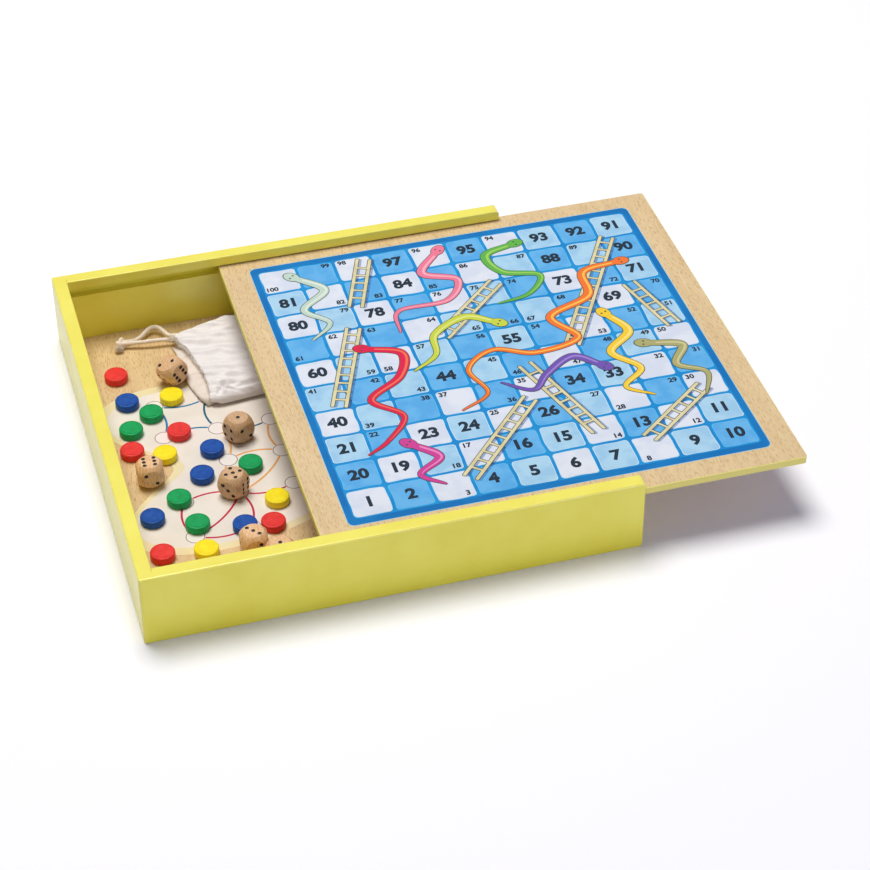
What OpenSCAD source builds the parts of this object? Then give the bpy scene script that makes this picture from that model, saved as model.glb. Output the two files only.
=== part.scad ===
// Wooden games box with a sliding board lid, shown slid part of the way open.
// The four walls are painted wood round a plywood floor. The board lid runs in
// grooves in both long walls and passes over the lower end wall on the right.
// In the box lie counters, tumbled wooden dice and a cotton drawstring bag.
// Frame: origin at the middle of the underside, +X the way the lid opens,
// +Y to the back, +Z up. Millimetres.

/* [Box] */
// Outer length, along the lid's travel
box_l = 300; // [260:1:360]
// Outer width, across the lid's travel
box_w = 300; // [270:1:360]
// Height of the three full walls
box_h = 49; // [44:0.5:70]
// Thickness of every wall
wall_t = 9; // [8:0.5:12]
// Depth that the end walls are let into the long walls
housing_d = 3; // [2:0.5:4]
// Distance of the low end wall from the ends of the long walls
end_inset = 2; // [1:0.5:6]
// Rounding of the upright corners of the box
corner_r = 2; // [1:0.25:3]
// Rounding of the walls' outer top and bottom edges
edge_r = 1.2; // [0.6:0.1:2]
// Rounding of the open ends of the long walls, seen from the front
end_r = 3.2; // [1.5:0.1:4]

/* [Floor] */
// Thickness of the plywood floor
floor_t = 3; // [2:0.5:5]
// Width of the rebate that the floor sits in
floor_seat = 4; // [3:0.5:5]
// Gap round the edge of the floor in its rebate
floor_fit = 0.2; // [0.1:0.05:0.5]

/* [Lid] */
// Thickness of the board lid
lid_t = 5; // [4:0.1:5.2]
// Height of the groove that the lid runs in
groove_h = 5.8; // [5.5:0.1:7]
// Depth of the groove in the wall
groove_d = 5; // [4:0.25:5]
// Wall left above the groove
lip_h = 6.5; // [4:0.25:9]
// Gap between each edge of the lid and the bottom of its groove
lid_fit = 0.3; // [0.2:0.05:0.8]
// Rounding of the lid's corners
lid_corner_r = 3; // [1:0.25:5]
// Rounding of the lid's upper and lower edges
lid_edge_r = 0.8; // [0.3:0.1:1.5]
// Gap between the low end wall and the lid above it
sill_gap = 0.3; // [0.2:0.05:0.8]
// How far the lid's end stands back from the wall ends when it is shut
lid_inset = 0.5; // [0:0.1:2]
// How far the lid is slid open
lid_open = 103.8; // [100:0.1:200]

/* [Counters] */
// Diameter of a counter
counter_d = 15; // [12:0.5:16]
// Height of a counter
counter_h = 5.2; // [3:0.1:7]
// Rounding of a counter's edges
counter_r = 1.1; // [0.5:0.1:1.4]
// Width of the turned ring on a counter's top
ring_w = 0.8; // [0.4:0.1:1.2]
// Depth of the turned ring
ring_d = 0.15; // [0.05:0.05:0.4]

/* [Dice] */
// Side of a die
die_s = 16; // [13:0.1:17]
// Diameter of the round flat that tumbling leaves on each face
die_flat_d = 12.3; // [11.8:0.1:13]
// Diameter of a drilled pip
pip_d = 2.5; // [1.5:0.1:2.7]
// Depth of a drilled pip
pip_depth = 0.6; // [0.3:0.1:1]
// Distance between neighbouring pips
pip_pitch = 3.2; // [2.8:0.1:3.4]
// Gap under the die that is tipped against the bag's hem
tip_gap = 0.1; // [0.05:0.05:0.3]
// Least gap between the foremost die and the front wall
stray_gap = 0.5; // [0.2:0.1:2]

/* [Bag] */
// Distance of the bag's mouth from the left wall
bag_x = 70; // [68:0.5:90]
// Distance of the bag's back edge from the back wall
bag_back = 4; // [1:0.5:8]
// Width of the bag across its mouth
bag_w = 89.5; // [80:0.5:95]
// Length of the bag from the mouth to the bottom seam
bag_l = 126; // [90:1:150]
// Thickness of the filled bag where it lies
bag_t = 12.5; // [10:0.5:16]
// Thickness of the folded hem that lies out from the mouth
hem_t = 4; // [3:0.1:4.4]
// Length of the hem in front of the mouth's upper edge
hem_l = 9.5; // [8:0.5:10]
// Gap between the cloth and what it lies on
cloth_gap = 0.3; // [0.2:0.05:0.6]

/* [Cord] */
// Diameter of the drawstring
cord_d = 2.8; // [2:0.1:3]
// Diameter of the knot that ties its ends
knot_d = 7.4; // [6:0.2:7.6]
// Diameter of the knot's side loop
knot_loop_d = 4.6; // [3.6:0.2:5]
// Length of the frayed ends beyond the knot
tuft_l = 4.5; // [3:0.5:6]
// Width of the frayed ends
tuft_d = 5; // [3:0.25:6]

/* [Hidden] */
$fn = 48;
COLOURS = ["red", "blue", "green", "yellow"];
PAINT = ["#d8453f", "#2456a6", "#0c9a5c", "#f2e23a"];

// Places inside the box are measured from its inner back left corner, at the
// level of the floor: x along the back wall, y minus the distance from it.
// Middles of the counters, by colour, as they were scattered.
SPOTS = [
  [[19.1, -50.1], [46.8, -116], [15.1, -127.1], [84, -215.4], [14.9, -224.9]],
  [[21, -78.4], [63.1, -138], [52.1, -160.6], [15.3, -191.7], [67.2, -212.9]],
  [[33.5, -93.6], [18.3, -106.7], [82.8, -158.7], [34.1, -178.7], [40.2, -204.1]],
  [[49.2, -80], [34.1, -135.6], [91.2, -194.4], [40.5, -228.3]]
];

// Each die: middle in plan, turn about its upright, its numbers on top, in
// front and on the right, and which of them are turned by a quarter.
DICE = [
  [[53.5, -62.6], -60.5, [2, 3, 6], [1, 0, 1]],
  [[82.2, -128.3], 25.4, [1, 2, 3], [0, 0, 0]],
  [[21.2, -155.1], -2.2, [6, 2, 3], [0, 0, 0]],
  [[67.8, -179.4], 53.4, [5, 6, 4], [0, 0, 1]],
  [[68, -234], -2.3, [3, 2, 6], [0, 1, 0]],
  [[80.9, -248.3], 45, [1, 4, 2], [0, 0, 0]]
];
// The first die is tipped: turns about its own x and y.
die_tip = [26.5, -8.4];

// Routes of the two strands from the hem to the knot: the last figure is
// the height of the cord's middle above the floor.
STRAND_FRONT = [[65.5, -23.6, 4], [58, -23, 4.6], [50, -22.2, 4.9], [42, -21, 4.4],
                [34, -19.2, 3.9], [28, -18.6, 3.9]];
STRAND_BACK = [[65.5, -20, 4.2], [60, -18.8, 4.6], [57.4, -14.2, 5], [55.2, -10, 5.2],
               [52.4, -7.7, 5], [48.8, -8, 4.6], [45.2, -10.8, 3.9], [41.4, -13.8, 2.9],
               [37.2, -15, 2.2], [33.4, -15.2, 2.3], [29.8, -15.2, 2.7]];
KNOT_AT = [26.5, -19.5];
LOOP_AT = [29.8, -14.7];

half_l = box_l / 2;
half_w = box_w / 2;
groove_z = box_h - lip_h - groove_h;      // the lid lies on this level
groove_wall = wall_t - groove_d;          // wood left behind the groove
lid_w = box_w - 2 * (groove_wall + lid_fit);
lid_shut_x = -half_l + groove_wall + lid_fit;
lid_l = half_l - lid_inset - lid_shut_x;
sill_h = groove_z - sill_gap;
seat_wall = wall_t - floor_seat;

// Rectangle from the origin with its own rounding at each corner:
// lower left, lower right, upper right, upper left.
module rounded_rect(w, h, r) {
  difference() {
    square([w, h]);
    for (k = [0:3]) if (r[k] > 0)
      translate([k == 1 || k == 2 ? w : 0, k >= 2 ? h : 0])
        mirror([k == 1 || k == 2 ? 1 : 0, 0]) mirror([0, k >= 2 ? 1 : 0])
          difference() {
            translate([-1, -1]) square(r[k] + 1);
            translate([r[k], r[k]]) circle(r[k]);
          }
  }
}

// Board whose three profiles are rounded rectangles: seen from the front,
// seen from above and seen from the end.
module profiled_board(size, front_r, plan_r, end_r4) {
  intersection() {
    translate([0, size.y, 0]) rotate([90, 0, 0])
      linear_extrude(size.y) rounded_rect(size.x, size.z, front_r);
    linear_extrude(size.z) rounded_rect(size.x, size.y, plan_r);
    rotate([90, 0, 90]) linear_extrude(size.x) rounded_rect(size.y, size.z, end_r4);
  }
}

// A long wall with its outer face at y = 0 and its left end at x = 0.
module long_wall() {
  difference() {
    profiled_board([box_l, wall_t, box_h],
                   [edge_r, end_r, end_r, edge_r],
                   [corner_r, corner_r, edge_r, 0],
                   [edge_r, 0, edge_r / 2, edge_r]);
    // groove for the lid, open at the right-hand end
    translate([groove_wall, groove_wall, groove_z])
      cube([box_l, groove_d + 1, groove_h]);
    // rebate for the floor
    translate([seat_wall, seat_wall, -1])
      cube([box_l - 2 * seat_wall - end_inset, floor_seat + 1, floor_t + 1]);
    // rebate for the full end wall
    translate([-1, wall_t - housing_d, -1])
      cube([wall_t + 1, housing_d + 1, box_h + 2]);
    // housing for the low end wall
    translate([box_l - end_inset - wall_t, wall_t - housing_d, -1])
      cube([wall_t, housing_d + 1, sill_h + 1]);
  }
}

module wall_front() {
  color("#ece25f") translate([-half_l, -half_w, 0]) long_wall();
}

module wall_back() {
  color("#ece25f") translate([-half_l, half_w, 0]) mirror([0, 1, 0]) long_wall();
}

// End walls reach from housing to housing.
end_wall_w = box_w - 2 * (wall_t - housing_d);

module wall_left() {
  color("#ece25f")
    translate([-half_l, -end_wall_w / 2, 0]) difference() {
      profiled_board([wall_t, end_wall_w, box_h],
                     [edge_r, 0, edge_r / 2, edge_r], [0, 0, 0, 0], [0, 0, 0, 0]);
      translate([groove_wall, -1, groove_z])
        cube([groove_d + 1, end_wall_w + 2, groove_h]);
      translate([seat_wall, -1, -1]) cube([floor_seat + 1, end_wall_w + 2, floor_t + 1]);
    }
}

module wall_right() {
  color("#ece25f")
    translate([half_l - end_inset - wall_t, -end_wall_w / 2, 0]) difference() {
      profiled_board([wall_t, end_wall_w, sill_h],
                     [0, edge_r, edge_r, edge_r / 2], [0, 0, 0, 0], [0, 0, 0, 0]);
      translate([-1, -1, -1]) cube([floor_seat + 1, end_wall_w + 2, floor_t + 1]);
    }
}

// The floor fills the rebates and lies against their shoulders.
module floor_panel() {
  x0 = -half_l + seat_wall + floor_fit;
  x1 = half_l - end_inset - seat_wall - floor_fit;
  w = box_w - 2 * (seat_wall + floor_fit);
  color("#e0c79a") translate([x0, -w / 2, 0]) cube([x1 - x0, w, floor_t]);
}

module lid() {
  color("#e3c89c")
    translate([lid_shut_x + lid_open, -lid_w / 2, groove_z])
      profiled_board([lid_l, lid_w, lid_t],
                     [lid_edge_r, lid_edge_r, lid_edge_r, lid_edge_r],
                     [lid_corner_r, lid_corner_r, lid_corner_r, lid_corner_r],
                     [lid_edge_r, lid_edge_r, lid_edge_r, lid_edge_r]);
}

// Moves its children to the inner back left corner, on the floor.
module in_corner() {
  translate([-half_l + wall_t, half_w - wall_t, floor_t]) children();
}

// A counter is turned: rounded edges and a shallow ring near the rim.
module counter(colour, i) {
  r = counter_d / 2;
  color(PAINT[colour])
    in_corner() translate(SPOTS[colour][i])
      rotate_extrude() difference() {
        union() {
          square([r - counter_r, counter_h]);
          translate([0, counter_r]) square([r, counter_h - 2 * counter_r]);
          for (z = [counter_r, counter_h - counter_r])
            translate([r - counter_r, z]) circle(counter_r);
        }
        translate([-r, -1]) square([r, counter_h + 2]);
        translate([r - counter_r - ring_w, counter_h - ring_d]) square([ring_w, 1]);
      }
}

// Places of the pips of each number, in pitches from the middle of the face.
function pips(n) =
  n == 1 ? [[0, 0]] :
  n == 2 ? [[-1, 1], [1, -1]] :
  n == 3 ? [[-1, 1], [0, 0], [1, -1]] :
  n == 4 ? [for (x = [-1, 1]) for (y = [-1, 1]) [x, y]] :
  n == 5 ? [[0, 0], for (x = [-1, 1]) for (y = [-1, 1]) [x, y]] :
  [for (x = [-1, 1]) for (y = [-1:1]) [x, y]];

// Holes of one number on the face that looks up, turned by a quarter or not.
module pip_holes(n, turned) {
  rotate(turned * 90) for (p = pips(n))
    translate([p.x * pip_pitch, p.y * pip_pitch, die_s / 2 - pip_depth])
      cylinder(d = pip_d, h = pip_depth + 1, $fn = 24);
}

// Farthest reach of a die from its middle: the rim of a face's round flat.
die_reach = norm([die_s / 2, die_flat_d / 2]);

// A tumbled die about its middle: a cube whose edges and corners are worn to
// a ball, which leaves a round flat on each face. Opposite faces add up to seven.
module die(numbers, turned) {
  faces = [[0, 0, 0], [90, 0, 0], [0, 90, 0]];
  difference() {
    intersection() {
      cube(die_s, center = true);
      sphere(die_reach);
    }
    for (k = [0:2]) {
      rotate(faces[k]) pip_holes(numbers[k], turned[k]);
      rotate(faces[k]) rotate([180, 0, 0]) pip_holes(7 - numbers[k], turned[k]);
    }
  }
}

// Height of a tipped die's middle above the floor: it stands on the rim of the
// flat below, or on the ball once it is tipped past that rim.
function tipped_rise(tip) =
  let (down = [-sin(tip.y), cos(tip.y) * sin(tip.x), cos(tip.y) * cos(tip.x)])
  down.z < die_s / 2 / die_reach ? die_reach :
  die_s / 2 * down.z + die_flat_d / 2 * norm([down.x, down.y]);

// The foremost die stands cornerwise. In a narrow box the front wall slides it
// along its own side, past the die next to it.
foremost = 5;
slid = max(0, -DICE[foremost][0].y + die_reach + stray_gap - (box_w - 2 * wall_t));

module placed_die(i) {
  tip = i == 0 ? die_tip : [0, 0];
  rise = i == 0 ? tipped_rise(die_tip) + tip_gap : die_s / 2;
  along = i == foremost ? slid : 0;
  color("#dcb68c")
    in_corner() translate([DICE[i][0].x + along, DICE[i][0].y + along, rise])
      rotate([tip.x, tip.y, DICE[i][1]])
        die(DICE[i][2], DICE[i][3]);
}

// A flattened round lump of cloth, t thick, whose widest line runs at half
// its height.
module lump(x, y, r, t) {
  translate([x, y, cloth_gap + t / 2]) scale([1, 1, t / (2 * r)]) sphere(r, $fn = 24);
}

// The filled bag lies flat: full in the middle, thinner at its corners and
// at the mouth. The folded hem runs out from under the mouth.
module bag() {
  back = -bag_back;
  front = back - bag_w;
  middle = (front + back) / 2;
  color("#e6e0dc") in_corner() {
    hull() {
      lump(bag_x + 5, front + 6, 6, bag_t * 0.6);
      lump(bag_x - 1, back - 18, 5, bag_t * 0.45);
      lump(bag_x + 0.28 * bag_l, back - 12, 8, bag_t * 0.72);
      lump(bag_x + 0.28 * bag_l, front + 10, 8, bag_t * 0.78);
      lump(bag_x + 0.35 * bag_l, middle, 16, bag_t);
      lump(bag_x + 0.75 * bag_l, middle, 16, bag_t);
      lump(bag_x + bag_l - 9, front + 12, 9, bag_t * 0.65);
      lump(bag_x + bag_l - 9, back - 10, 9, bag_t * 0.65);
    }
    hull() {
      lump(bag_x - hem_l + 3, back - 20, 3, hem_t);
      lump(bag_x - hem_l + 3.5, back - 60, 3, hem_t);
      lump(bag_x + 2, front + 3.5, 3, hem_t);
      lump(bag_x + 8, back - 26, 3, hem_t);
      lump(bag_x + 8, front + 8, 3, hem_t);
    }
  }
}

// Ring k of a strand: eight points square to its route.
function unit(v) = v / norm(v);
function heading(p, k) = unit(p[min(k + 1, len(p) - 1)] - p[max(k - 1, 0)]);
function ring_points(p, k) =
  let (t = heading(p, k), s = unit(cross([0, 0, 1], t)), u = cross(t, s))
  [for (a = [0:45:315]) p[k] + cord_d / 2 * (cos(a) * s + sin(a) * u)];

module strand(route) {
  n = len(route);
  points = [for (k = [0:n - 1]) each ring_points(route, k)];
  faces = concat(
    [[for (j = [0:7]) j]],
    [[for (j = [7:-1:0]) (n - 1) * 8 + j]],
    [for (k = [0:n - 2]) for (j = [0:7])
      each [[k * 8 + j, (k + 1) * 8 + j, k * 8 + (j + 1) % 8],
            [k * 8 + (j + 1) % 8, (k + 1) * 8 + j, (k + 1) * 8 + (j + 1) % 8]]]);
  color("#ead9c6") in_corner() polyhedron(points, faces, convexity = 4);
}

module cord_front() { strand(STRAND_FRONT); }
module cord_back() { strand(STRAND_BACK); }

// The ends are tied in a round knot with a small side loop; the frayed ends
// point to the front.
module cord_knot() {
  color("#efe4d8") in_corner() {
    translate([KNOT_AT.x, KNOT_AT.y, knot_d / 2 + cloth_gap]) {
      sphere(d = knot_d, $fn = 24);
      translate([0, -knot_d * 0.35, -0.6]) rotate([100, 0, 0])
        cylinder(d1 = tuft_d * 0.7, d2 = tuft_d, h = tuft_l, $fn = 24);
    }
    translate([LOOP_AT.x, LOOP_AT.y, knot_loop_d / 2 + cloth_gap]) sphere(d = knot_loop_d, $fn = 24);
  }
}

wall_front();
wall_back();
wall_left();
wall_right();
floor_panel();
lid();
for (c = [0:3]) for (i = [0:len(SPOTS[c]) - 1])
  counter(c, i);
for (i = [0:5])
  placed_die(i);
bag();
cord_front();
cord_back();
cord_knot();
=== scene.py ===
# %% [markdown]
# # A wooden games box with a sliding board lid
# The box is four painted boards round a thin plywood floor. Its lid is a printed
# board that slides in two grooves, and inside lie counters, dice and a cotton bag.
# The construction comes from CAD and never changes here. This script dresses it:
# it gives every board its finish, adds the thin printed pictures, and makes the
# cloth and cord that CAD only blocks out.

# %% Load the frame
import math
import random

import bmesh
import bpy
from mathutils import Matrix, Quaternion, Vector, noise


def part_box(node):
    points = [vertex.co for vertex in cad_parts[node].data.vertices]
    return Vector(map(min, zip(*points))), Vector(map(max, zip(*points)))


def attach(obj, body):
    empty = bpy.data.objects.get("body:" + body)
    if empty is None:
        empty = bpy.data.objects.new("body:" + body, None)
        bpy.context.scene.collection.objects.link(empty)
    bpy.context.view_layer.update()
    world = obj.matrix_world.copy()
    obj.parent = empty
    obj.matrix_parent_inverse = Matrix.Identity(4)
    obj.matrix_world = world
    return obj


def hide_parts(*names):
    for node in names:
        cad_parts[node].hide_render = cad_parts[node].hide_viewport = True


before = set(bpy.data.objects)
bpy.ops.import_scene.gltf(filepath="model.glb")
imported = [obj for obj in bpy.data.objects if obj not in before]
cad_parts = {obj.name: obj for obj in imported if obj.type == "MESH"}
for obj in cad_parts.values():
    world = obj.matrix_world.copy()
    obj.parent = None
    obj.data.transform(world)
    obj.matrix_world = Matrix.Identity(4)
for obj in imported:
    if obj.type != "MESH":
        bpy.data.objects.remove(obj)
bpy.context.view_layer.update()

# %% [markdown]
# Everything is in metres, so sizes below are written in millimetres times MM.
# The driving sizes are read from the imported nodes, so the looks follow the CAD.

# %% Sizes that come from the frame
MM = 0.001
WALL = 9 * MM
lid_low, lid_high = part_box("lid")
back_low, back_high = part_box("wall_back")
BOX_TOP = back_high.z
FLOOR_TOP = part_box("floor_panel")[1].z
LID_TOP = lid_high.z
# the inner back left corner at floor level, from which the cord's points are counted
CORNER = Vector((back_low.x + WALL, back_high.y - WALL, FLOOR_TOP))
print("floor top", round(FLOOR_TOP / MM, 2), "lid top", round(LID_TOP / MM, 2), "mm")

# %% [markdown]
# ## Small tools for objects and nodes
# Objects and shader nodes are made in the same few moves again and again, so the
# moves are written once.


# %% Objects and colours
def having(thing, **settings):
    """Sets several of a thing's values at once, and hands it back."""
    for name, value in settings.items():
        setattr(thing, name, value)
    return thing


def add_object(name, data):
    made = bpy.data.objects.new(name, data)
    bpy.context.scene.collection.objects.link(made)
    return made


def srgb(red, green, blue):
    """A colour as it is read off a screen, 0 to 255, as the linear one Blender wants."""
    def linear(value):
        value /= 255
        return value / 12.92 if value <= 0.04045 else ((value + 0.055) / 1.055) ** 2.4
    return (linear(red), linear(green), linear(blue), 1.0)


print("the grey 128 is", round(srgb(128, 128, 128)[0], 3), "to Blender")

# %% [markdown]
# A node's input takes either a plain value or another node's output, and `feed`
# tells the two apart. `end` is the node that takes a tree's results: a material's
# shader, or a group's output.


# %% Node trees
class Tree:
    """The nodes of one material, world or group."""

    def __init__(self, tree, end):
        self.tree, self.end = tree, end

    def feed(self, socket, value):
        if hasattr(value, "is_output"):
            self.tree.links.new(value, socket)
        else:
            socket.default_value = value

    def give(self, title, value):
        self.feed(self.end.inputs[title], value)

    def add(self, kind, inputs=None, **settings):
        """Makes a node, feeds its inputs by title or number, and returns its outputs."""
        node = having(self.tree.nodes.new("ShaderNode" + kind), **settings)
        for title, value in (inputs or {}).items():
            self.feed(node.inputs[title], value)
        return node.outputs

    def math(self, operation, *values):
        return self.add("Math", dict(enumerate(values)), operation=operation)[0]

    def mix(self, share, first, second, blend="MIX"):
        # a Mix node has sockets for every kind of value: 6, 7 and result 2 are its colours
        sockets = {0: share, 6: first, 7: second}
        return self.add("Mix", sockets, data_type="RGBA", blend_type=blend)[2]

    def ramp(self, source, low, high, to_low=0.0, to_high=1.0):
        """Maps source from low..high to to_low..to_high, clamped."""
        return self.add("MapRange", {"Value": source, "From Min": low, "From Max": high,
                                     "To Min": to_low, "To Max": to_high})["Result"]

    def noise(self, place, scale, detail=3.0, rough=0.55):
        return self.add("TexNoise", {"Vector": place, "Scale": scale, "Detail": detail,
                                     "Roughness": rough})["Fac"]

    def mapped(self, place, scale=(1, 1, 1), turn=(0, 0, 0), shift=(0, 0, 0), kind="POINT"):
        return self.add("Mapping", {"Vector": place, "Scale": scale, "Rotation": turn,
                                    "Location": shift}, vector_type=kind)["Vector"]

    def here(self):
        return self.add("TexCoord")["Object"]

    def millimetres(self, turn=(0, 0, 0)):
        """Object coordinates counted in millimetres, for patterns of that scale."""
        return self.mapped(self.here(), (1 / MM, 1 / MM, 1 / MM), turn)

    def bump(self, height, distance, strength):
        self.give("Normal", self.add("Bump", {"Height": height, "Distance": distance,
                                              "Strength": strength})["Normal"])


# %% Materials and node groups
def new_material(name, roughness, **fixed):
    """A material with one Principled shader, whose constants sit on its own sockets."""
    material = bpy.data.materials.new(name)
    material.use_nodes = True
    tree = Tree(material.node_tree, material.node_tree.nodes["Principled BSDF"])
    tree.give("Roughness", roughness)
    for socket, value in fixed.items():
        tree.give(socket.replace("_", " "), value)
    return material, tree


def new_group(name, inputs, outputs):
    """An empty shader node group; its sockets are given as title and kind."""
    group = bpy.data.node_groups.new(name, "ShaderNodeTree")
    for way, sockets in (("INPUT", inputs), ("OUTPUT", outputs)):
        for title, kind in sockets.items():
            group.interface.new_socket(name=title, in_out=way, socket_type="NodeSocket" + kind)
    start = group.nodes.new("NodeGroupInput")
    return group, start.outputs, Tree(group, group.nodes.new("NodeGroupOutput"))


# %% [markdown]
# ## Camera
# The photograph was taken with a long lens from the front, a little to the left
# and looking down. A camera is easiest to read as an aim point, a distance, and
# the two angles that turn it round that point. Roll is a slight tilt of the frame.

# %% Camera
AIM = Vector((60.1 * MM, -15.8 * MM, 0))
CAMERA_DISTANCE = 1551.5 * MM
AZIMUTH = math.radians(-15.93)
ELEVATION = math.radians(39.50)
ROLL = math.radians(0.155)
LENS_MM = 102.54
SENSOR_MM = 36.0


def add_camera():
    toward_camera = Vector((math.sin(AZIMUTH) * math.cos(ELEVATION),
                            -math.cos(AZIMUTH) * math.cos(ELEVATION),
                            math.sin(ELEVATION)))
    camera = add_object("camera", having(bpy.data.cameras.new("camera"), lens=LENS_MM,
                                         sensor_width=SENSOR_MM))
    camera.rotation_mode = "QUATERNION"
    level = (-toward_camera).to_track_quat("-Z", "Y")
    camera.rotation_quaternion = Quaternion(-toward_camera, ROLL) @ level
    camera.location = AIM + CAMERA_DISTANCE * toward_camera
    bpy.context.scene.camera = camera
    print("camera at", [round(c, 3) for c in camera.location])


add_camera()

# %% [markdown]
# ## Light and background
# The photograph is a catalogue shot: a white sweep and a broad light nearly
# overhead, a little behind and to the left, so that shadows are short and soft.
# One large lamp, one weak filling lamp and a pale world give that. The floor is
# ordinary white paint that takes the shadow; rays that come straight from the
# camera see it a little lighter, so that the sweep reads as white without more
# light on the box.


# %% Lamps
def add_lamp(name, place, size, power, colour):
    """A round lamp that faces the middle of the box."""
    lamp = add_object(name, having(bpy.data.lights.new(name, "AREA"), shape="DISK", size=size,
                                   energy=power, color=srgb(*colour)[:3]))
    lamp.location = place
    lamp.rotation_euler = (-Vector(place)).to_track_quat("-Z", "Y").to_euler()


add_lamp("key_overhead", (-0.24, 0.78, 3.0), 1.7, 86.0, (255, 253, 249))
add_lamp("fill_front", (0.7, -2.3, 0.36), 1.0, 12.0, (250, 252, 255))
print("lamps", len(bpy.data.lights))

# %% World and floor
ROOM_STRENGTH = 0.19
FLOOR_GLOW = 0.09
SWEEP_HALF = 8


def add_world():
    world = bpy.data.worlds.new("studio")
    bpy.context.scene.world = world
    world.use_nodes = True
    world.node_tree.nodes.clear()
    tree = Tree(world.node_tree, world.node_tree.nodes.new("ShaderNodeOutputWorld"))
    room = tree.add("Background", {"Color": srgb(240, 242, 255), "Strength": ROOM_STRENGTH})
    sweep = tree.add("Background", {"Strength": 1.0})
    path = tree.add("LightPath")
    seen = tree.math("MAXIMUM", path["Is Camera Ray"], path["Is Glossy Ray"])
    tree.give("Surface", tree.add("MixShader", {0: seen, 1: room[0], 2: sweep[0]})[0])


def add_floor():
    bm = bmesh.new()
    bmesh.ops.create_grid(bm, x_segments=1, y_segments=1, size=SWEEP_HALF)
    mesh = bpy.data.meshes.new("studio_floor")
    bm.to_mesh(mesh)
    bm.free()
    material, tree = new_material("white_sweep", 0.9, Specular_IOR_Level=0.1,
                                  Emission_Color=(0.45, 0.45, 1, 1))
    straight = tree.add("LightPath")["Is Camera Ray"]
    tree.give("Base Color", tree.mix(straight, (0.90, 0.90, 0.91, 1), (0.99, 0.99, 1.0, 1)))
    tree.give("Emission Strength", tree.math("MULTIPLY", straight, FLOOR_GLOW))
    mesh.materials.append(material)
    add_object("studio_floor", mesh)


add_world()
add_floor()
bpy.context.scene.view_settings.view_transform = "Standard"
print("the sweep is", 2 * SWEEP_HALF, "m across")

# %% [markdown]
# ## Beech
# The lid, the floor and the dice are beech: a warm, even wood whose mark is its
# rays, short dark dashes that lie along the grain. Both ply faces run front to
# back. One node group makes all three: slow streaks, fine fibres and the dashes,
# each from a texture that is squeezed across the grain. It gives a colour and a
# height, and the finish stays in each material.


# %% The beech group
def make_beech_group():
    group, given, tree = new_group("beech", {"Place": "Vector", "Light": "Color",
                                             "Dark": "Color", "Ray": "Color", "Rays": "Float"},
                                   {"Colour": "Color", "Height": "Float"})

    def squeezed(across, along):
        return tree.mapped(given["Place"], (across, along, across))

    streaks = tree.noise(squeezed(0.16, 0.012), 1.0, 3, 0.6)
    fibres = tree.noise(squeezed(1.9, 0.07), 1.0, 2, 0.6)
    both = tree.math("MULTIPLY_ADD", fibres, 0.45, tree.math("MULTIPLY", streaks, 0.55))
    ground = tree.mix(tree.ramp(both, 0.36, 0.64), given["Dark"], given["Light"])
    cells = tree.add("TexVoronoi", {"Vector": squeezed(1.35, 0.21), "Scale": 1.0})
    dash = tree.ramp(cells["Distance"], 0.48, 0.14)
    chosen = tree.ramp(tree.add("SeparateColor", {0: cells["Color"]})["Red"], 0.1, 0.7)
    dashes = tree.math("MULTIPLY", dash, chosen)
    share = tree.math("MULTIPLY", dashes, given["Rays"])
    tree.give("Colour", tree.mix(share, ground, given["Ray"]))
    tree.give("Height", tree.math("MULTIPLY_ADD", dashes, -0.6, fibres))
    return group


beech = make_beech_group()
print("group", beech.name, "with", len(beech.nodes), "nodes")


def in_beech(tree, place, light, dark, ray, rays):
    """Places the group in a material; place is in millimetres, colours are 0 to 255."""
    return tree.add("Group", {"Place": place, "Light": srgb(*light), "Dark": srgb(*dark),
                              "Ray": srgb(*ray), "Rays": rays}, node_tree=beech)


# %% [markdown]
# The group counts in millimetres, so object coordinates are multiplied by 1000
# on the way in. The lid's rim is sprayed with the box's yellow: past the lid's
# outline, less the rounding of its edge, the veneer gives way to paint.

# %% The two ply finishes
VENEER_RAYS = 0.85
RIM_INSET = 0.6 * MM
RIM_YELLOW = srgb(232, 219, 124)


def rim_mask(tree, low, high, inset):
    """One past a rectangle's outline, less an inset, and nought inside it."""
    axes = tree.add("SeparateXYZ", {0: tree.here()})
    outside = []
    for axis in (0, 1):
        middle, half = (low[axis] + high[axis]) / 2, (high[axis] - low[axis]) / 2 - inset
        off = tree.math("ABSOLUTE", tree.math("SUBTRACT", axes[axis], middle))
        outside.append(tree.math("GREATER_THAN", off, half))
    return tree.math("MAXIMUM", *outside)


def veneer(name, light, dark, ray, turned, rimmed=False):
    material, tree = new_material(name, 0.5, Coat_Weight=0.12, Coat_Roughness=0.35)
    place = tree.millimetres((0, 0, math.radians(turned)))
    wood = in_beech(tree, place, light, dark, ray, VENEER_RAYS)
    colour = wood["Colour"]
    if rimmed:
        colour = tree.mix(rim_mask(tree, lid_low, lid_high, RIM_INSET), colour, RIM_YELLOW)
    tree.give("Base Color", colour)
    tree.bump(wood["Height"], 0.04 * MM, 0.5)
    return material


def dress(titles, material):
    for title in titles:
        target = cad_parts[title]
        if not target.data.materials:
            target.data.materials.append(material)
        for slot in target.material_slots:
            slot.material = material
    print(material.name, "on", len(titles), "nodes")


dress(["lid"], veneer("lid_veneer", (229, 202, 156), (214, 184, 136), (180, 140, 94), -4, True))
dress(["floor_panel"],
      veneer("floor_veneer", (228, 200, 150), (210, 178, 126), (176, 128, 74), 5))
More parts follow.
